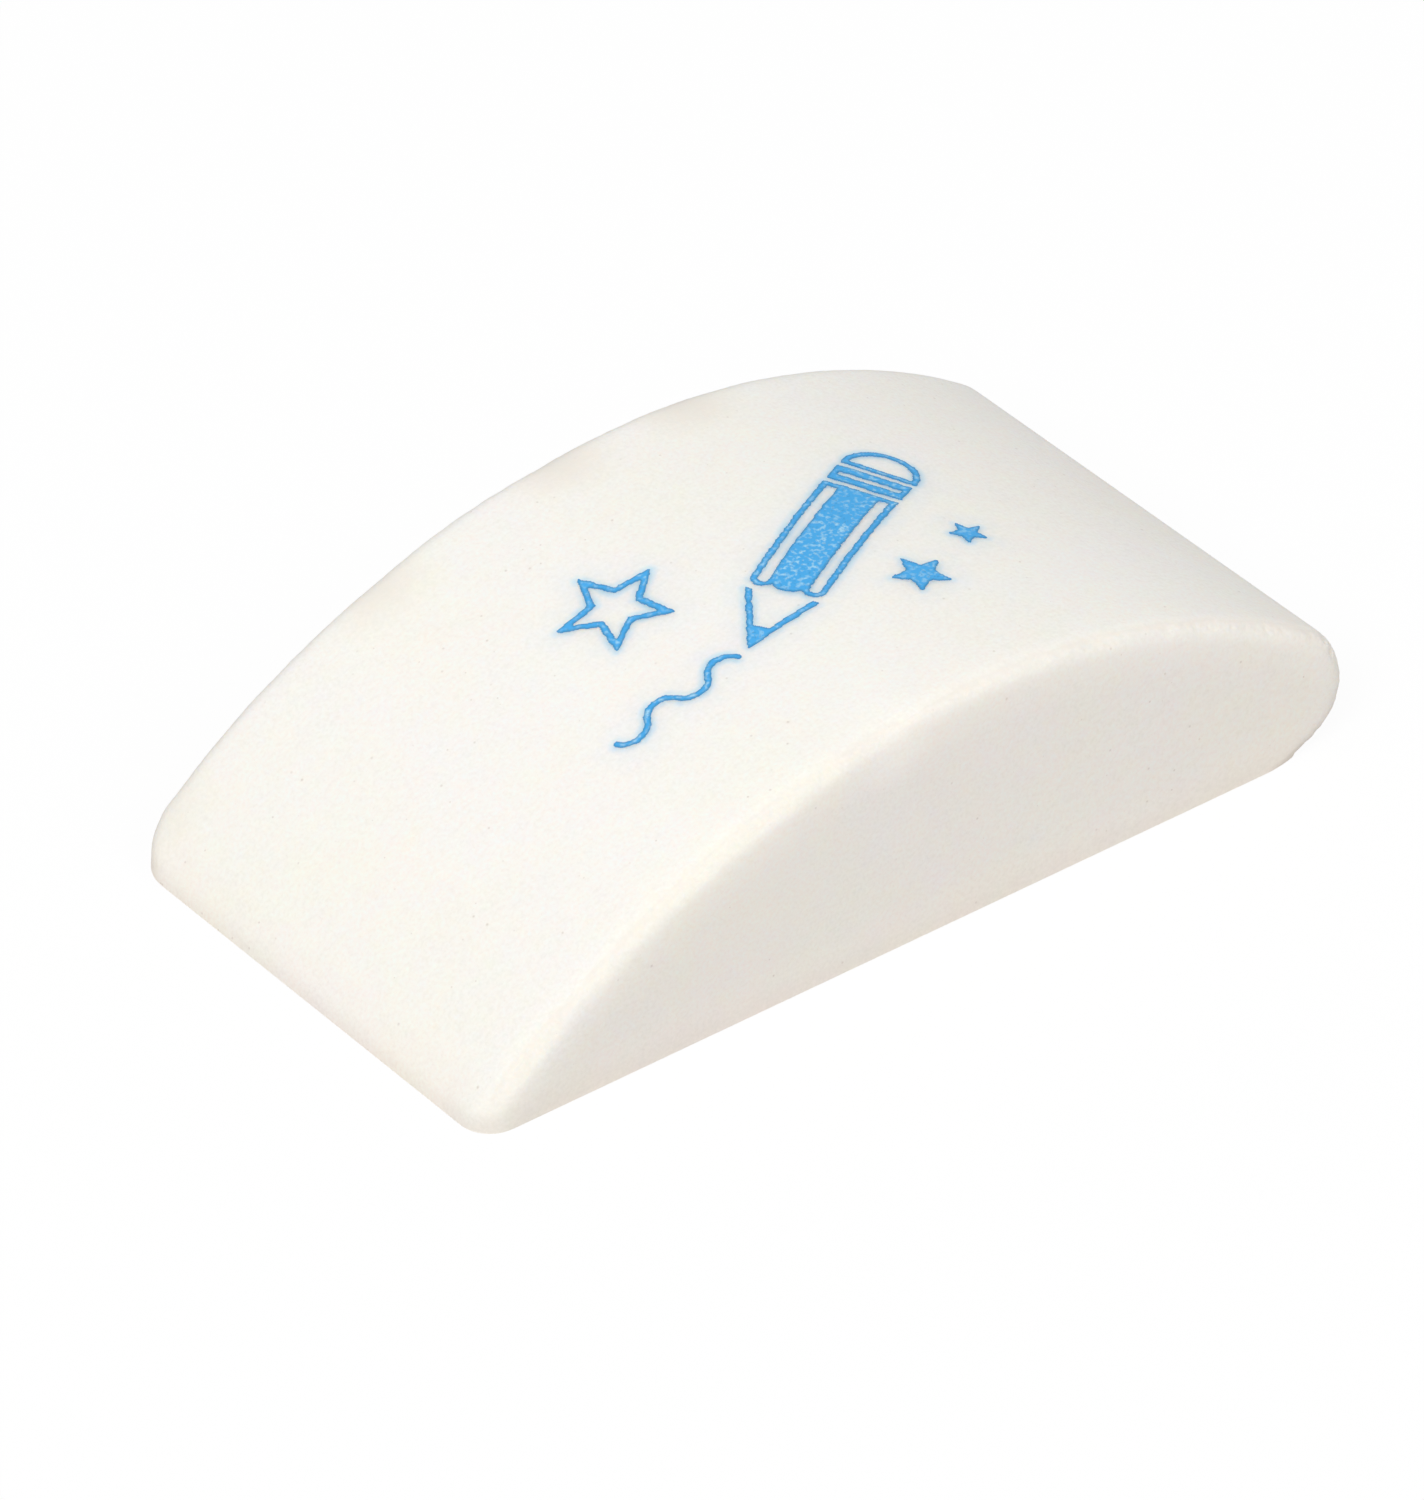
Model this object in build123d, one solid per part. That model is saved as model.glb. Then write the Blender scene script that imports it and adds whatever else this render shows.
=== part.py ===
from build123d import *
import os
from math import atan2, cos, degrees, radians, sin, tan

# An arched block eraser with a one-colour print on its curved top, in millimetres.
# X runs along the block, from the thin lip at the front (-X) to the round nose at the rear (+X).
# Y runs across it and Z is up. The origin is the middle of the flat base.

# Rubber block. A straight slope of the angle below joins the round nose to the flat base.
block_length = 58.0
rear_width = 31.5
front_width = 31.1
block_height = 14.5
crown_from_front = 33.1
front_lip_height = 1.0
nose_radius = 4.0
nose_slope_angle = 25.0
edge_radius = 1.0
near_corner_radius = 1.8
far_corner_radius = 2.9

# Rubber under the base that is there while the upper edges are rounded, and is then cut off flat
cut_off_depth = 3.0

# Ink film, its strokes, the bare rubber between its islands, and the rounding of its corners
ink_thickness = 0.05
stroke_width = 0.45
island_gap = 0.3
ink_corner_radius = 0.12

# Printed pencil, which slants from its point, ahead of the crown, towards the far rear corner
point_ahead_of_crown = 7.6
point_off_middle = -5.0
pencil_angle = 29.0
pencil_width = 4.4
cone_length = 4.8
lead_length = 2.0
barrel_length = 10.6
facet_bulge = 0.45
band_length = 1.7
cap_length = 2.5

# Printed wave, alternate bends that run along the block up to the pencil's point
wave_bends = 4
wave_bend_radius = 1.1
wave_bend_angle = 130.0
wave_gap_to_point = 0.6

# Printed stars, with five points each
star_points = 5
star_waist_share = 0.45
large_star_radius = 3.5
large_star_ahead_of_crown = 10.2
large_star_off_middle = 2.9
medium_star_radius = 1.9
medium_star_behind_crown = 3.6
medium_star_off_middle = -5.6
small_star_radius = 1.3
small_star_behind_crown = 8.6
small_star_off_middle = -3.4

front_x = -block_length / 2
rear_x = block_length / 2
crown_x = front_x + crown_from_front

# The top is two arcs that meet, level, at the crown. The front one starts on the lip's upper edge.
lip_to_crown = block_height - front_lip_height
front_arc_radius = (crown_from_front**2 + lip_to_crown**2) / (2 * lip_to_crown)
front_arc_centre = Vector(crown_x, block_height - front_arc_radius)
front_arc_sweep = degrees(atan2(crown_from_front, front_arc_radius - lip_to_crown))

# The rear arc runs into the nose, which is tangent to it. The nose's whole circle would touch the base.
nose_centre = Vector(rear_x - nose_radius, nose_radius)
crown_to_nose = nose_centre.X - crown_x
nose_to_crown = block_height - nose_radius
rear_arc_radius = (crown_to_nose**2 + nose_to_crown**2 - nose_radius**2) / (
    2 * (nose_to_crown - nose_radius)
)
rear_arc_centre = Vector(crown_x, block_height - rear_arc_radius)
rear_arc_end = degrees(atan2(nose_centre.Y - rear_arc_centre.Y, crown_to_nose))


def top_arcs(height_above):
    """The two arcs of the top, from the nose to the lip, raised square to the surface."""
    return [
        CenterArc(
            rear_arc_centre, rear_arc_radius + height_above, rear_arc_end, 90 - rear_arc_end
        ),
        CenterArc(front_arc_centre, front_arc_radius + height_above, 90, front_arc_sweep),
    ]


def across_the_width(outline):
    """A closed outline in the side view, drawn out over the whole width of the block."""
    return extrude(Plane.XZ * make_face(outline), max(front_width, rear_width) / 2, both=True)


def arched_block():
    """The rubber block, with its front corners and upper edges rounded and a crisp edge at its base."""
    nose_start = nose_slope_angle - 90
    nose = CenterArc(nose_centre, nose_radius, nose_start, rear_arc_end - nose_start)
    top = top_arcs(0)
    lip = Line(top[-1] @ 1, (front_x, -cut_off_depth))
    slope_top = nose @ 0
    slope_run = (slope_top.Y + cut_off_depth) / tan(radians(nose_slope_angle))
    slope = Line((slope_top.X - slope_run, -cut_off_depth), slope_top)
    underside = Line(lip @ 1, slope @ 0)
    plan = Polygon(
        (front_x, -front_width / 2),
        (rear_x, -rear_width / 2),
        (rear_x, rear_width / 2),
        (front_x, front_width / 2),
        align=None,
    )
    upright = Pos(0, 0, -cut_off_depth) * extrude(plan, block_height + cut_off_depth)
    block = across_the_width(Curve() + [underside, slope, nose] + top + [lip]) & upright
    near_corner = block.edges().filter_by(Axis.Z).group_by(Axis.X)[0].sort_by(Axis.Y)[0]
    block = fillet(near_corner, near_corner_radius)
    far_corner = block.edges().filter_by(Axis.Z).group_by(Axis.X)[0].sort_by(Axis.Y)[-1]
    block = fillet(far_corner, far_corner_radius)
    lip_edge = block.edges().filter_by(Axis.Y).group_by(Axis.X)[0].group_by(Axis.Z)[-1]
    side_edges = block.edges().filter_by(Axis.Y, reverse=True).filter_by(Axis.Z, reverse=True)
    upper_side_edges = side_edges - side_edges.group_by(Axis.Z)[0]
    block = fillet(lip_edge + upper_side_edges, edge_radius)
    return split(block, bisect_by=Plane.XY, keep=Keep.TOP)


def ink_layer():
    """The thin space on the curved top that the ink fills."""
    under = top_arcs(0)
    over = top_arcs(ink_thickness)
    ends = [Line(under[0] @ 0, over[0] @ 0), Line(under[-1] @ 1, over[-1] @ 1)]
    return across_the_width(Curve() + under + over + ends)


def printed(drawing):
    """A flat drawing in the top view, pressed straight down onto the curved top as a film of ink."""
    return extrude(drawing, 2 * block_height) & ink_layer()


def softened(drawing):
    """A drawing whose corners the wet ink has rounded."""
    return fillet(drawing.vertices(), ink_corner_radius)


def outlined(drawing):
    """The stroke that runs round a drawing, inside its edge."""
    return softened(drawing) - offset(drawing, -stroke_width, kind=Kind.INTERSECTION)


def on_pencil(drawing):
    """A drawing made with the pencil's point at the origin and its barrel along X, put in place."""
    return Pos(crown_x - point_ahead_of_crown, point_off_middle) * Rot(0, 0, pencil_angle) * drawing


def pencil_point():
    """The sharpened cone in outline, open at the barrel, with a solid lead."""
    half_width = pencil_width / 2
    half_angle = atan2(half_width, cone_length)
    cone = Polygon((0, 0), (cone_length, -half_width), (cone_length, half_width), align=None)
    wood = Pos(stroke_width / sin(half_angle), 0) * cone
    lead = Pos(lead_length / 2, 0) * Rectangle(lead_length, pencil_width)
    return softened(cone) - (wood - lead)


def barrel_facet(middle, width):
    """One painted facet of the barrel, bulging towards the point."""
    start = cone_length + island_gap + facet_bulge
    end = cone_length + island_gap + barrel_length
    low = middle - width / 2
    high = middle + width / 2
    front = ThreePointArc((start, high), (start - facet_bulge, middle), (start, low))
    sides = Polyline((start, low), (end, low), (end, high), (start, high))
    return make_face(Curve() + [front, sides])


def pencil_barrel():
    """The facets that show on a six-sided barrel: a solid one between two half as wide, in outline."""
    middle_width = (pencil_width - stroke_width) / 2
    side_width = middle_width / 2
    drawing = softened(barrel_facet(0, middle_width))
    for side in (-1, 1):
        off_axis = side * (middle_width + side_width) / 2
        drawing += outlined(barrel_facet(off_axis, side_width + stroke_width))
    return drawing


def pencil_band():
    """The metal band behind the barrel: a solid bar with one slit of bare rubber."""
    start = cone_length + barrel_length + 2 * island_gap
    bar = softened(Rectangle(band_length, pencil_width))
    slit = Rectangle(island_gap, pencil_width - 2 * stroke_width)
    return Pos(start + band_length / 2, 0) * (bar - slit)


def pencil_cap():
    """The rubber end behind the band in outline, with a round back."""
    start = cone_length + barrel_length + band_length + 3 * island_gap
    half_width = pencil_width / 2
    end = start + cap_length
    back = ThreePointArc((start, half_width), (end, 0), (start, -half_width))
    return outlined(make_face(Curve() + [back, Line(back @ 1, back @ 0)]))


def wave():
    """One stroke of alternate bends, each tangent to the next, that stops short of the point."""
    half_angle = wave_bend_angle / 2
    half_chord = wave_bend_radius * sin(radians(half_angle))
    drop = wave_bend_radius * cos(radians(half_angle))
    end_x = crown_x - point_ahead_of_crown - wave_gap_to_point
    bends = []
    for bend in range(wave_bends):
        side = 1 if bend % 2 == 0 else -1
        middle = (end_x - (2 * bend + 1) * half_chord, point_off_middle - side * drop)
        start_angle = side * 90 - half_angle
        bends.append(CenterArc(middle, wave_bend_radius, start_angle, wave_bend_angle))
    return make_face(Wire(bends).offset_2d(stroke_width / 2))


def star(radius, behind_crown, off_middle):
    """A solid star with one point towards the far side."""
    corners = []
    for step in range(2 * star_points):
        reach = radius if step % 2 == 0 else radius * star_waist_share
        angle = radians(90 + 180 * step / star_points)
        corners.append((reach * cos(angle), reach * sin(angle)))
    return Pos(crown_x + behind_crown, off_middle) * make_face(Polyline(*corners, close=True))


nodes = {
    "eraser_body": arched_block(),
    "print_pencil_point": printed(on_pencil(pencil_point())),
    "print_pencil_barrel": printed(on_pencil(pencil_barrel())),
    "print_pencil_band": printed(on_pencil(pencil_band())),
    "print_pencil_cap": printed(on_pencil(pencil_cap())),
    "print_wave": printed(wave()),
    "print_star_large": printed(
        outlined(star(large_star_radius, -large_star_ahead_of_crown, large_star_off_middle))
    ),
    "print_star_medium": printed(
        softened(star(medium_star_radius, medium_star_behind_crown, medium_star_off_middle))
    ),
    "print_star_small": printed(
        softened(star(small_star_radius, small_star_behind_crown, small_star_off_middle))
    ),
}

os.makedirs("parts", exist_ok=True)
for name, shape in nodes.items():
    shape.label = name
    export_step(shape, f"parts/{name}.step")
    print(name, len(shape.solids()), round(shape.volume, 4))
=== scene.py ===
import math

import bmesh
import bpy
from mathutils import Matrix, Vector, noise
from mathutils.bvhtree import BVHTree
from mathutils.kdtree import KDTree


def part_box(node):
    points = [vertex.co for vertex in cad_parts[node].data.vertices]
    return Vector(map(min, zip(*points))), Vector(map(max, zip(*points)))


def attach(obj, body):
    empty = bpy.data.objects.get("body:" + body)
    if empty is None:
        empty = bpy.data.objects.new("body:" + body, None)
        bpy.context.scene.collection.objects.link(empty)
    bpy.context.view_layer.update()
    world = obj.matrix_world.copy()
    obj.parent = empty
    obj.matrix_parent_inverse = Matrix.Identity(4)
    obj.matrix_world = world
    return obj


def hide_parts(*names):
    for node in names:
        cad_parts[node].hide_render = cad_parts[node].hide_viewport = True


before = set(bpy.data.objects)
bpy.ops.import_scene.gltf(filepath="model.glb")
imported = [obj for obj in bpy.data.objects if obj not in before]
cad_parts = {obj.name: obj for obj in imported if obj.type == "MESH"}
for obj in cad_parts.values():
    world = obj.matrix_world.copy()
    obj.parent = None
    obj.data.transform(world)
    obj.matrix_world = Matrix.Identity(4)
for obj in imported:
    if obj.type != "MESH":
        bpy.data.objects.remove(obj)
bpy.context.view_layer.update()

# Rubber block
# One solid piece of white eraser rubber, pressed in a mould and then tumbled in powder, which rounds
# its edges and leaves them a little uneven. It stands on its flat base and carries the print.
mm = 0.001
body_low, body_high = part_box("eraser_body")
front_x = body_low.x
rear_x = body_high.x
block_height = body_high.z
rear_width = 31.5 * mm
front_width = 31.1 * mm
lip_height = 1.0 * mm
crown_from_front = 33.1 * mm
nose_radius = 4.0 * mm
nose_slope = math.radians(25)
near_corner_radius = 1.8 * mm
far_corner_radius = 2.9 * mm
cut_off_depth = 3.0 * mm

# The top is two arcs that meet, level, at the crown. A round nose and a short straight slope under it
# run on to the base.
crown_x = front_x + crown_from_front
lip_to_crown = block_height - lip_height
front_arc_radius = (crown_from_front**2 + lip_to_crown**2) / (2 * lip_to_crown)
front_arc_z = block_height - front_arc_radius
front_arc_sweep = math.atan2(crown_from_front, lip_height - front_arc_z)
nose_x = rear_x - nose_radius
crown_to_nose = nose_x - crown_x
nose_to_crown = block_height - nose_radius
rear_arc_radius = (crown_to_nose**2 + nose_to_crown**2 - nose_radius**2) / (
    2 * (nose_to_crown - nose_radius)
)
rear_arc_z = block_height - rear_arc_radius
rear_arc_sweep = math.atan2(crown_to_nose, nose_radius - rear_arc_z)
nose_sweep = math.pi - rear_arc_sweep - nose_slope
slope_drop = nose_radius * (1 - math.cos(nose_slope)) + cut_off_depth
slope_run = slope_drop / math.tan(nose_slope)


def select_verts(test):
    """Select the vertices of the mesh in edit mode that pass a test, and the edges between them."""
    mesh = bmesh.from_edit_mesh(bpy.context.object.data)
    for vert in mesh.verts:
        vert.select = test(vert)
    mesh.select_flush_mode()
    bmesh.update_edit_mesh(bpy.context.object.data)


def apply_modifier(piece, kind, **settings):
    """Give a piece a modifier with these settings, and apply it."""
    modifier = piece.modifiers.new(kind.title(), kind)
    for name, value in settings.items():
        setattr(modifier, name, value)
    bpy.context.view_layer.objects.active = piece
    bpy.ops.object.modifier_apply(modifier=modifier.name)
    piece.vertex_groups.clear()


# The lip's upright face is the start, a little deeper than the base. Its upper edge is spun over the
# top and round the nose, and pulled down the slope.
tiny = 0.01 * mm
spare_width = 1.2 * rear_width
bpy.ops.object.select_all(action="DESELECT")
bpy.ops.mesh.primitive_plane_add(
    size=1, location=(front_x, 0, (lip_height - cut_off_depth) / 2), rotation=(0, math.pi / 2, 0)
)
block = bpy.context.object
block.name = "rubber_block"
block.scale = (lip_height + cut_off_depth, spare_width, 1)
bpy.ops.object.transform_apply(location=True, rotation=True, scale=True)
bpy.ops.object.mode_set(mode="EDIT")
select_verts(lambda vert: vert.co.z > 0)
arcs = (
    (crown_x, front_arc_z, front_arc_sweep, 60),
    (crown_x, rear_arc_z, rear_arc_sweep, 48),
    (nose_x, nose_radius, nose_sweep, 32),
)
for centre_x, centre_z, sweep, steps in arcs:
    bpy.ops.mesh.spin(steps=steps, angle=sweep, center=(centre_x, 0, centre_z), axis=(0, -1, 0))
bpy.ops.mesh.extrude_region_move(TRANSFORM_OT_translate={"value": (-slope_run, 0, -slope_drop)})
select_verts(lambda vert: vert.co.z < tiny - cut_off_depth)
bpy.ops.mesh.bridge_edge_loops()
bpy.ops.mesh.select_all(action="SELECT")
bpy.ops.mesh.fill_holes(sides=0)
bpy.ops.mesh.select_all(action="SELECT")
bpy.ops.mesh.normals_make_consistent(inside=False)
bpy.ops.object.mode_set(mode="OBJECT")

# The outline seen from above, a little narrower at the front and with round front corners, trims its
# sides.
bpy.ops.object.select_all(action="DESELECT")
bpy.ops.mesh.primitive_plane_add(size=1, location=(0, 0, -2 * cut_off_depth))
trim = bpy.context.object
trim.scale = (rear_x - front_x, rear_width, 1)
bpy.ops.object.transform_apply(location=True, rotation=True, scale=True)
bpy.ops.object.mode_set(mode="EDIT")
select_verts(lambda vert: vert.co.x < 0)
bpy.ops.transform.resize(value=(1, front_width / rear_width, 1))
corner_steps = 16
for side, radius in ((-1, near_corner_radius), (1, far_corner_radius)):
    select_verts(lambda vert: vert.co.x < 0 and side * vert.co.y > 0)
    bpy.ops.mesh.bevel(offset=radius, segments=corner_steps, affect="VERTICES")
bpy.ops.mesh.select_all(action="SELECT")
bpy.ops.mesh.extrude_region_move(TRANSFORM_OT_translate={"value": (0, 0, 3 * block_height)})
bpy.ops.mesh.select_all(action="SELECT")
bpy.ops.mesh.normals_make_consistent(inside=False)
bpy.ops.object.mode_set(mode="OBJECT")
apply_modifier(block, "BOOLEAN", operation="INTERSECT", object=trim, solver="EXACT")
bpy.data.objects.remove(trim)

# A fine even mesh, drawn onto the frame's block wherever that has a rounded edge
mesh_size = 0.27 * mm
edge_zone = 2.6 * mm
lip_zone = 6 * mm
smoothing = 0.5
body_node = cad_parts["eraser_body"]


def near_edge(vert):
    """Whether a vertex is near one of the rounded edges, and above the base."""
    by_side = abs(vert.co.y) > front_width / 2 - edge_zone
    by_lip = vert.co.x < front_x + lip_zone
    return vert.co.z > 0 and (by_side or by_lip)


def weigh(piece, weight):
    """Give a piece a group that holds the weight of each vertex, and return the group's name."""
    group = piece.vertex_groups.new(name="weighed")
    for vert in piece.data.vertices:
        share = weight(vert)
        if share > 0:
            group.add([vert.index], min(share, 1), "REPLACE")
    return group.name


apply_modifier(block, "REMESH", mode="VOXEL", voxel_size=mesh_size)
apply_modifier(block, "SHRINKWRAP", target=body_node, vertex_group=weigh(block, near_edge))
apply_modifier(block, "SMOOTH", factor=smoothing, iterations=4)


def top_height(x):
    """The height of the block's top, in its side view, at a place along the block."""
    if x < crown_x:
        return front_arc_z + math.sqrt(front_arc_radius**2 - (x - crown_x) ** 2)
    if x < crown_x + rear_arc_radius * math.sin(rear_arc_sweep):
        return rear_arc_z + math.sqrt(rear_arc_radius**2 - (x - crown_x) ** 2)
    return nose_radius + math.sqrt(max(nose_radius**2 - (x - nose_x) ** 2, 0))


def fade(distance, reach):
    """A share that falls smoothly from 1 at no distance to 0 at the reach."""
    left = max(1 - distance / reach, 0)
    return left * left * (3 - 2 * left)


def displace(piece, depth, weight, **settings):
    """Push a piece inwards by a depth, times the weight that each of its vertices is given."""
    apply_modifier(piece, "DISPLACE", strength=-depth, vertex_group=weigh(piece, weight), **settings)


# The sides lean in a little towards the top, as soft rubber does when it shrinks in the mould
lean = 0.12 * mm
lean_reach = 3.0 * mm


def on_upper_side(vert):
    """How near a vertex is to the top of a side, from 1 at the edge to 0 at the lean's reach."""
    below_top = top_height(vert.co.x) - vert.co.z
    return abs(vert.normal.y) * fade(below_top, lean_reach)


displace(block, lean, on_upper_side, mid_level=0)

# Rubbing has worn the lip's upright face back to a slope, between its corners.
lip_wear = 0.22 * mm
lip_reach = 1.5 * mm
corner_reach = 4.0 * mm


def on_lip(vert):
    """How much of the lip's wear a vertex has, from none at the base to all at the lip's height."""
    from_side = front_width / 2 - abs(vert.co.y)
    raised = min(max(vert.co.z / lip_height, 0), 1)
    return raised * fade(vert.co.x - front_x, lip_reach) * (1 - fade(from_side, corner_reach))


displace(block, lip_wear, on_lip, mid_level=0)

# The spare rubber under the base is cut off, which leaves a flat base with a crisp edge.
bpy.ops.object.select_all(action="DESELECT")
block.select_set(True)
bpy.ops.object.shade_smooth()
bpy.ops.object.mode_set(mode="EDIT")
bpy.ops.mesh.select_all(action="SELECT")
bpy.ops.mesh.bisect(plane_co=(0, 0, 0), plane_no=(0, 0, 1), use_fill=True, clear_inner=True, threshold=0)
bpy.ops.mesh.mark_sharp()
bpy.ops.object.mode_set(mode="OBJECT")

# The spare rubber had sharp edges under the nose. What the cut leaves of them, at the foot of the nose,
# is drawn onto the frame's block too, and the base's edge is then brought back to one level.
foot_length = 3 * mm
foot_height = 1.2 * mm


def at_nose_foot(vert):
    """Whether a vertex is at the foot of the nose, by one of its sides."""
    by_side = abs(vert.co.y) > front_width / 2 - edge_zone
    return by_side and vert.co.x > nose_x - foot_length and vert.co.z < foot_height


apply_modifier(block, "SHRINKWRAP", target=body_node, vertex_group=weigh(block, at_nose_foot))
bpy.ops.object.mode_set(mode="EDIT")
select_verts(lambda vert: any(not edge.smooth for edge in vert.link_edges))
bpy.ops.transform.resize(value=(1, 1, 0), center_override=(0, 0, 0))
bpy.ops.object.mode_set(mode="OBJECT")

# Tumbling has worn the upper edges: long shallow waves, lumps on them and crumbs on those, for which
# the mesh is finer there. The wear is whole from a turn of about 37 degrees out of the top or the side,
# less on the far edge, and stops short of the base.
worn_turn = 1 - math.cos(math.radians(37))
worn_from = 0.1
far_wear = 0.35
front_crisp_height = 1.2 * mm
rear_crisp_height = 0.4 * mm
mean_wear = 0.45


def on_worn_edge(vert):
    """How far a vertex is into the turn from the top to a side, where the wear is."""
    turned = 1 - max(abs(vert.normal.y), math.hypot(vert.normal.x, vert.normal.z))
    crisp_height = front_crisp_height if vert.co.x < crown_x else rear_crisp_height
    raised = 1 - fade(max(vert.co.z - crisp_height, 0), crisp_height)
    share = 1 if vert.co.y < 0 else far_wear
    return share * raised * min(turned / worn_turn, 1)


bpy.ops.object.mode_set(mode="EDIT")
select_verts(lambda vert: on_worn_edge(vert) > worn_from)
bpy.ops.mesh.subdivide(number_cuts=2)
bpy.ops.object.mode_set(mode="OBJECT")
apply_modifier(block, "SMOOTH", factor=smoothing, iterations=12, vertex_group=weigh(block, on_worn_edge))
for wear_name, wear_size, wear_depth in (
    ("edge_waves", 3.5 * mm, 0.4 * mm),
    ("edge_lumps", 0.7 * mm, 0.09 * mm),
    ("edge_crumbs", 0.35 * mm, 0.06 * mm),
):
    wear = bpy.data.textures.new(wear_name, "CLOUDS")
    wear.noise_scale = wear_size
    displace(block, wear_depth, on_worn_edge, texture=wear, texture_coords="LOCAL", mid_level=mean_wear)


def mesh_tree(pieces):
    """The faces of some pieces, for finding what is near or under a place."""
    corners = []
    faces = []
    for piece in pieces:
        start = len(corners)
        corners += [vert.co for vert in piece.data.vertices]
        faces += [[start + corner for corner in face.vertices] for face in piece.data.polygons]
    return BVHTree.FromPolygons(corners, faces)


# Knocks on those edges, in millimetres: how far from the front and off the middle, how wide and how
# deep, and then how much darker the top round each is drawn. The last three are two nicks on the nose
# and, between them, a rim of flash that the mould left.
knocks = (
    (2.0, 15.5, 2.5, 0.02, 0.5),
    (16.0, 15.6, 3.0, 0.03, 0.85),
    (28.0, 15.6, 3.4, 0.05, 1.0),
    (36.5, 15.6, 3.0, 0.03, 1.0),
    (26.5, -15.6, 3.2, 0.25, 0.0),
    (57.0, -15.1, 0.5, 0.2, 0.0),
    (57.1, -15.7, 0.4, -0.1, 0.0),
    (57.5, -15.7, 0.4, 0.3, 0.0),
)
block_tree = mesh_tree([block])
dark_patch_centres = []
for from_front, off_middle, width, depth, share in knocks:
    knock_x = front_x + from_front * mm
    knock_at = block_tree.find_nearest((knock_x, off_middle * mm, top_height(knock_x)))[0]
    displace(block, depth * mm, lambda vert: fade((vert.co - knock_at).length, width * mm), mid_level=0)
    dark_patch_centres.append((knock_at, share))

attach(block, "root")
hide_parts("eraser_body")


def colour(hex_code):
    """An sRGB hex colour as the linear values that a shader takes."""
    channels = [int(hex_code[start : start + 2], 16) / 255 for start in (1, 3, 5)]
    linear = [c / 12.92 if c <= 0.04045 else ((c + 0.055) / 1.055) ** 2.4 for c in channels]
    return (*linear, 1.0)


def add_node(material, kind, inputs, **settings):
    """Add a node with its settings. Each input is a plain value or another node's output."""
    tree = material.node_tree
    node = tree.nodes.new(kind)
    for name, value in settings.items():
        setattr(node, name, value)
    for name, value in inputs.items():
        if isinstance(value, bpy.types.NodeSocket):
            tree.links.new(value, node.inputs[name])
        else:
            node.inputs[name].default_value = value
    return node


# Close to the print the mesh is finer, and each vertex holds how much ink has crept that far.
print_nodes = sorted(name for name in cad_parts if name.startswith("print_"))
fringe_reach = 0.45 * mm
stain_reach = 2.2 * mm
stain_share = 0.25
print_tree = mesh_tree([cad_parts[name] for name in print_nodes])


def from_print(place):
    """How far a place is from the nearest ink, or the reach of the stain where it is further."""
    nearest = print_tree.find_nearest(place, stain_reach)
    return stain_reach if nearest[0] is None else nearest[3]


bpy.context.view_layer.objects.active = block
bpy.ops.object.mode_set(mode="EDIT")
select_verts(lambda vert: from_print(vert.co) < fringe_reach + mesh_size)
bpy.ops.mesh.subdivide(number_cuts=1)
bpy.ops.object.mode_set(mode="OBJECT")
crept = block.data.attributes.new("crept_ink", "FLOAT", "POINT")
for vert, value in zip(block.data.vertices, crept.data):
    away = from_print(vert.co)
    value.value = (1 - stain_share) * fade(away, fringe_reach) + stain_share * fade(away, stain_reach)

# The colour is drawn darker on the worn upper edges, on top round the knocks, and on the sides by the
# base.
# On the edges this is painted shade that damps their highlight, and by the base it is painted shade
# where the block meets the floor. Round the knocks it is darker patches. On an edge it is full where the
# wear comes to a third of its most, and thins out towards the side.
dark_patch_reach = 5.0 * mm
base_shade_reach = 2.0 * mm
base_shade_share = 0.25
edge_shade_share = 0.8
full_edge_shade_wear = 1 / 3
steep_normal_z = 0.5
shade_and_patches = block.data.attributes.new("shade_and_patches", "FLOAT", "POINT")
for vert, value in zip(block.data.vertices, shade_and_patches.data):
    # Darker patches on top round the knocks
    patch_darkening = max(share * fade((vert.co - knock_at).length, dark_patch_reach) for knock_at, share in dark_patch_centres)
    on_top = min(max(vert.normal.z / steep_normal_z, 0), 1)
    # Painted shade on the sides, by the base where the block meets the floor
    shade_by_base = base_shade_share * abs(vert.normal.y) * fade(vert.co.z, base_shade_reach)
    worn = min(on_worn_edge(vert) / full_edge_shade_wear, 1)
    # Painted shade on the worn upper edges, which damps their highlight
    shade_on_edge = edge_shade_share * worn * (1 - vert.normal.y**2)
    value.value = max(shade_on_edge, patch_darkening * on_top, shade_by_base)

# Eraser rubber: soft rubber filled with chalk, pressed in a mould and tumbled in powder. To the eye
# it is a matt warm white, faintly cloudy, with a fine grain, and a grey speck of filler here and there.
# The real grain is powder too fine to show, so it is drawn as coarse as it needs to be seen.
cloud_size = 1.8 * mm
cloud_share = 0.032
patch_size = 9 * mm
patch_share = 0.03
grain_size = 0.22 * mm
grain_share = 0.08
grain_depth = 0.02 * mm
speck_spacing = 0.9 * mm
speck_radius = 0.12 * mm
glow_depth = 2 * mm
glow_share = 0.6
glow_from_base = 3 * mm
rubber = bpy.data.materials.new("eraser_rubber")
rubber.use_nodes = True
rubber.node_tree.nodes.clear()
on_block = add_node(rubber, "ShaderNodeTexCoord", {}).outputs["Object"]
clouds = add_node(
    rubber, "ShaderNodeTexNoise", {"Vector": on_block, "Scale": 1 / cloud_size, "Detail": 3.0}
)
patches = add_node(
    rubber, "ShaderNodeTexNoise", {"Vector": on_block, "Scale": 1 / patch_size, "Detail": 1.0}
)
grain = add_node(
    rubber, "ShaderNodeTexNoise", {"Vector": on_block, "Scale": 1 / grain_size, "Detail": 2.0}
)
specks = add_node(rubber, "ShaderNodeTexVoronoi", {"Vector": on_block, "Scale": 1 / speck_spacing})
mottled = colour("#FFF9F0")
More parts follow.
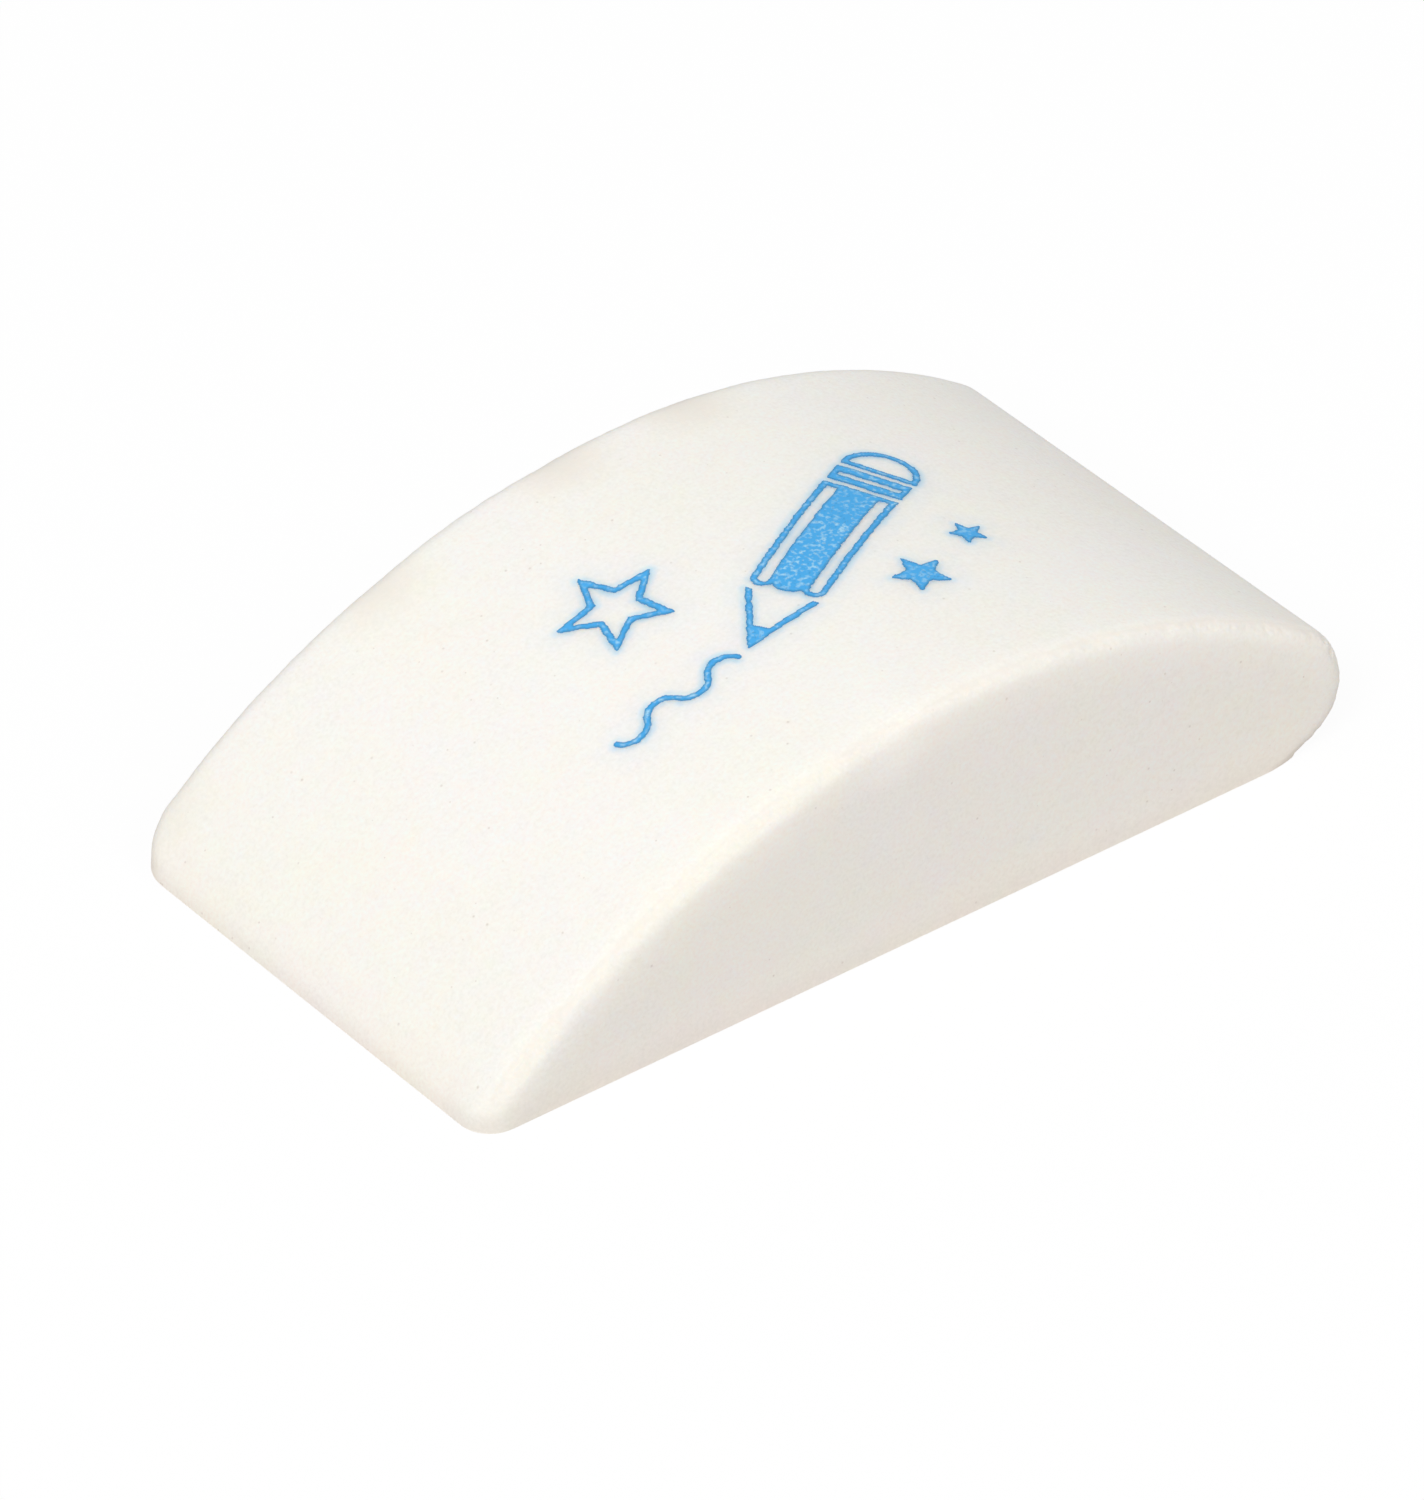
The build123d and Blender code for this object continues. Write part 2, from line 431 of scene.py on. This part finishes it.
for pattern, share in (
    (clouds.outputs["Color"], cloud_share),
    (patches.outputs["Color"], patch_share),
    (grain.outputs["Fac"], grain_share),
):
    mottled = add_node(
        rubber,
        "ShaderNodeMixRGB",
        {"Fac": share, "Color1": mottled, "Color2": pattern},
        blend_type="LINEAR_LIGHT",
    ).outputs["Color"]
chance = add_node(rubber, "ShaderNodeSeparateColor", {"Color": specks.outputs["Color"]})
speck_size = add_node(
    rubber,
    "ShaderNodeMath",
    {0: chance.outputs["Red"], 1: speck_radius / speck_spacing},
    operation="MULTIPLY",
)
speck_mask = add_node(
    rubber,
    "ShaderNodeMapRange",
    {
        "Value": specks.outputs["Distance"],
        "From Max": speck_size.outputs["Value"],
        "To Min": 1.0,
        "To Max": 0.0,
    },
)
specked = add_node(
    rubber,
    "ShaderNodeMixRGB",
    {"Fac": speck_mask.outputs["Result"], "Color1": mottled, "Color2": colour("#E3D9CF")},
)
crept_ink = add_node(rubber, "ShaderNodeAttribute", {}, attribute_name=crept.name)
# This darkens the rubber: painted shade on the worn upper edges and by the base, and darker patches on
# top round the knocks.
shade_and_patch_node = add_node(rubber, "ShaderNodeAttribute", {}, attribute_name=shade_and_patches.name)
painted_shade_colour = add_node(
    rubber,
    "ShaderNodeMixRGB",
    {"Fac": shade_and_patch_node.outputs["Fac"], "Color1": specked.outputs["Color"], "Color2": colour("#EFE9E0")},
)
uneven = add_node(
    rubber, "ShaderNodeMapRange", {"Value": clouds.outputs["Fac"], "From Min": 0.3, "From Max": 0.6}
)
stain = add_node(
    rubber,
    "ShaderNodeMath",
    {0: crept_ink.outputs["Fac"], 1: uneven.outputs["Result"]},
    operation="MULTIPLY",
)
stained = add_node(
    rubber,
    "ShaderNodeMixRGB",
    {"Fac": stain.outputs["Value"], "Color1": painted_shade_colour.outputs["Color"], "Color2": colour("#D4ECFA")},
)

# A little light goes into the soft rubber and comes out close by, so that its edges look soft. It does
# so less and less towards the base, where the floor would swallow it.
height = add_node(rubber, "ShaderNodeSeparateXYZ", {"Vector": on_block})
glow = add_node(
    rubber,
    "ShaderNodeMapRange",
    {"Value": height.outputs["Z"], "From Max": glow_from_base, "To Max": glow_share},
)
relief = add_node(rubber, "ShaderNodeBump", {"Height": grain.outputs["Fac"], "Distance": grain_depth})
rubber_shader = add_node(
    rubber,
    "ShaderNodeBsdfPrincipled",
    {
        "Base Color": stained.outputs["Color"],
        "Normal": relief.outputs["Normal"],
        "Roughness": 0.8,
        "Specular IOR Level": 0.15,
        "Subsurface Weight": glow.outputs["Result"],
        "Subsurface Radius": (1.0, 0.85, 0.7),
        "Subsurface Scale": glow_depth,
    },
)
add_node(rubber, "ShaderNodeOutputMaterial", {"Surface": rubber_shader.outputs["BSDF"]})
block.data.materials.append(rubber)

# Print
# One colour of ink on the curved top: a pencil in four islands, a wave and three stars. A soft pad
# stamps it there, and it dries to a thin film with ragged edges, because the rubber is powdery.
ink_cell = 0.06 * mm
ink_thickness = 0.05 * mm
ragged_by = 0.07 * mm
ragged_over = 0.35 * mm
ragged_seed = 1
rim_width = 0.15 * mm
rim_share = 0.85
above_block = 2 * block_height
film_edge_angle = math.radians(40)

# Pad-printing ink: a solvent ink that dries matt. To the eye it is a bright azure that has drawn back
# to a darker rim, with paler pinholes, more of them in some places, and dark dots of heavier ink. The
# finest pinholes and dots are too small to show, so these are drawn as coarse as they need to be seen.
pinhole_size = 0.28 * mm
dot_size = 0.14 * mm
worn_zone_size = 5 * mm
ink = bpy.data.materials.new("pad_print_ink")
ink.use_nodes = True
ink.node_tree.nodes.clear()
on_film = add_node(ink, "ShaderNodeTexCoord", {}).outputs["Object"]
pinholes = add_node(
    ink, "ShaderNodeTexNoise", {"Vector": on_film, "Scale": 1 / pinhole_size, "Detail": 2.0}
)
dots = add_node(ink, "ShaderNodeTexNoise", {"Vector": on_film, "Scale": 1 / dot_size, "Detail": 1.0})
zones = add_node(
    ink, "ShaderNodeTexNoise", {"Vector": on_film, "Scale": 1 / worn_zone_size, "Detail": 1.0}
)
worn_zones = add_node(
    ink,
    "ShaderNodeMapRange",
    {"Value": zones.outputs["Fac"], "From Min": 0.4, "From Max": 0.6, "To Min": 0.5, "To Max": 1.0},
)
pinhole_mask = add_node(
    ink, "ShaderNodeMapRange", {"Value": pinholes.outputs["Fac"], "From Min": 0.5, "From Max": 0.64}
)
thin_ink = add_node(
    ink,
    "ShaderNodeMath",
    {0: pinhole_mask.outputs["Result"], 1: worn_zones.outputs["Result"]},
    operation="MULTIPLY",
)
pale = add_node(
    ink,
    "ShaderNodeMixRGB",
    {"Fac": thin_ink.outputs["Value"], "Color1": colour("#45AFF0"), "Color2": colour("#A6DBF8")},
)
dot_mask = add_node(
    ink,
    "ShaderNodeMapRange",
    {"Value": dots.outputs["Fac"], "From Min": 0.58, "From Max": 0.72, "To Max": 0.6},
)
dotted = add_node(
    ink,
    "ShaderNodeMixRGB",
    {"Fac": dot_mask.outputs["Result"], "Color1": pale.outputs["Color"], "Color2": colour("#2C8BCB")},
)
drawn_back = add_node(ink, "ShaderNodeAttribute", {}, attribute_name="rim")
rimmed = add_node(
    ink,
    "ShaderNodeMixRGB",
    {"Fac": drawn_back.outputs["Fac"], "Color1": dotted.outputs["Color"], "Color2": colour("#358CC4")},
)
ink_shader = add_node(
    ink, "ShaderNodeBsdfPrincipled", {"Base Color": rimmed.outputs["Color"], "Roughness": 0.6}
)
add_node(ink, "ShaderNodeOutputMaterial", {"Surface": ink_shader.outputs["BSDF"]})


def over_ink(place, tree):
    """Whether a print lies under a place, with the print's outline shaken a little."""
    shake = noise.noise_vector(place / ragged_over) * ragged_by
    return tree.ray_cast(place + Vector((shake.x, shake.y, 0)), (0, 0, -1))[0] is not None


# Each film is cut from a fine grid over the block, laid on the top and given its thickness. The seed
# makes the shaken outlines come out the same each time.
noise.seed_set(ragged_seed)
for name in print_nodes:
    film_low, film_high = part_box(name)
    span = film_high - film_low
    middle = (film_low + film_high) / 2
    film_tree = mesh_tree([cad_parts[name]])
    bpy.ops.object.select_all(action="DESELECT")
    bpy.ops.mesh.primitive_grid_add(
        x_subdivisions=round(span.x / ink_cell),
        y_subdivisions=round(span.y / ink_cell),
        size=1,
        location=(middle.x, middle.y, above_block),
    )
    film = bpy.context.object
    film.name = name.replace("print_", "ink_")
    film.scale = (span.x, span.y, 1)
    bpy.ops.object.transform_apply(location=True, rotation=True, scale=True)
    bpy.ops.object.mode_set(mode="EDIT")
    select_verts(lambda vert: not over_ink(vert.co, film_tree))
    bpy.ops.mesh.delete(type="VERT")
    bpy.ops.mesh.select_all(action="SELECT")
    bpy.ops.mesh.delete_loose(use_verts=True, use_edges=True, use_faces=False)
    bpy.ops.object.mode_set(mode="OBJECT")
    apply_modifier(film, "SMOOTH", factor=smoothing, iterations=2)
    cut = bmesh.new()
    cut.from_mesh(film.data)
    border = [vert.co.copy() for vert in cut.verts if vert.is_boundary]
    cut.free()
    border_tree = KDTree(len(border))
    for index, corner in enumerate(border):
        border_tree.insert(corner, index)
    border_tree.balance()
    rim = film.data.attributes.new("rim", "FLOAT", "POINT")
    for vert, value in zip(film.data.vertices, rim.data):
        value.value = rim_share * fade(border_tree.find(vert.co)[2], rim_width)
    apply_modifier(
        film,
        "SHRINKWRAP",
        target=body_node,
        wrap_method="PROJECT",
        use_project_z=True,
        use_positive_direction=False,
        use_negative_direction=True,
        offset=ink_thickness,
    )
    apply_modifier(film, "SOLIDIFY", thickness=ink_thickness, offset=-1)
    bpy.ops.object.select_all(action="DESELECT")
    film.select_set(True)
    bpy.ops.object.shade_smooth_by_angle(angle=film_edge_angle)
    film.data.materials.append(ink)
    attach(film, "root")
    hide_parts(name)

# Floor
# A sheet of matt paper, far larger than the view, that the block stands on. It isn't part of the block.
# The camera sees it as the plain white of a studio ground, with the block's soft shadow. To the block
# it is a warm pale grey, so that little light comes back up to the sides.
floor_size = 6.0
paper_white_share = 0.93
bpy.ops.object.select_all(action="DESELECT")
bpy.ops.mesh.primitive_plane_add(size=floor_size)
floor = bpy.context.object
floor.name = "floor"
paper = bpy.data.materials.new("white_paper")
paper.use_nodes = True
paper.node_tree.nodes.clear()
ray = add_node(paper, "ShaderNodeLightPath", {})
mirrored = add_node(
    paper,
    "ShaderNodeMath",
    {0: ray.outputs["Is Glossy Ray"], 1: ray.outputs["Is Transmission Ray"]},
    operation="MAXIMUM",
)
seen = add_node(
    paper,
    "ShaderNodeMath",
    {0: ray.outputs["Is Camera Ray"], 1: mirrored.outputs[0]},
    operation="MAXIMUM",
)
white_share = add_node(
    paper, "ShaderNodeMath", {0: seen.outputs[0], 1: paper_white_share}, operation="MULTIPLY"
)
paper_colour = add_node(
    paper,
    "ShaderNodeMixRGB",
    {"Fac": seen.outputs[0], "Color1": colour("#C5BFBD"), "Color2": colour("#FFFFFF")},
)
lit_paper = add_node(paper, "ShaderNodeBsdfDiffuse", {"Color": paper_colour.outputs["Color"]})
plain_white = add_node(paper, "ShaderNodeEmission", {"Color": colour("#FFFFFF"), "Strength": 1.0})
seen_paper = add_node(
    paper,
    "ShaderNodeMixShader",
    {0: white_share.outputs[0], 1: lit_paper.outputs[0], 2: plain_white.outputs[0]},
)
add_node(paper, "ShaderNodeOutputMaterial", {"Surface": seen_paper.outputs[0]})
floor.data.materials.append(paper)

# Light
# A white studio all round, and two soft round lamps, a main one over the camera's left shoulder
# and a weak one at its right. Together they light the ground at about the level where a colour looks
# as written.
studio_level = 0.55
world = bpy.data.worlds.new("studio")
world.use_nodes = True
studio = world.node_tree.nodes["Background"]
studio.inputs["Color"].default_value = colour("#FFFFFF")
studio.inputs["Strength"].default_value = studio_level
bpy.context.scene.world = world
lamp_distance = 1.2
lamp_size = 0.6
lamps = (("main_lamp", 210, 45, 0.46), ("fill_lamp", 300, 45, 0.145))
for lamp_name, azimuth, elevation, level in lamps:
    lamp_azimuth = math.radians(azimuth)
    height_angle = math.radians(elevation)
    lamp_from = Vector(
        (
            math.cos(lamp_azimuth) * math.cos(height_angle),
            math.sin(lamp_azimuth) * math.cos(height_angle),
            math.sin(height_angle),
        )
    )
    bpy.ops.object.light_add(type="AREA", location=lamp_from * lamp_distance)
    lamp = bpy.context.object
    lamp.name = lamp_name
    lamp.data.shape = "DISK"
    lamp.data.size = lamp_size
    lamp.data.energy = level * math.pi**2 * lamp_distance**2
    lamp.rotation_euler = lamp_from.to_track_quat("Z", "Y").to_euler()

# Camera
# It stands where the photograph was taken from: in front of the lip, to the near side and well above,
# with a long lens some 0.6 m away. Its aim, a little ahead of the block's middle, frames the block.
camera_azimuth = math.radians(-38.05)
camera_elevation = math.radians(35.96)
camera_distance = 628.7 * mm
aimed_at = Vector((-2.03, -0.17, 4.09)) * mm
back = Vector(
    (
        math.sin(camera_azimuth) * math.cos(camera_elevation),
        -math.cos(camera_azimuth) * math.cos(camera_elevation),
        math.sin(camera_elevation),
    )
)
bpy.ops.object.camera_add(location=aimed_at + back * camera_distance)
camera = bpy.context.object
camera.data.lens = 284.2
camera.data.sensor_width = 36
camera.rotation_euler = back.to_track_quat("Z", "Y").to_euler()
bpy.context.scene.camera = camera
bpy.context.scene.view_settings.view_transform = "Standard"
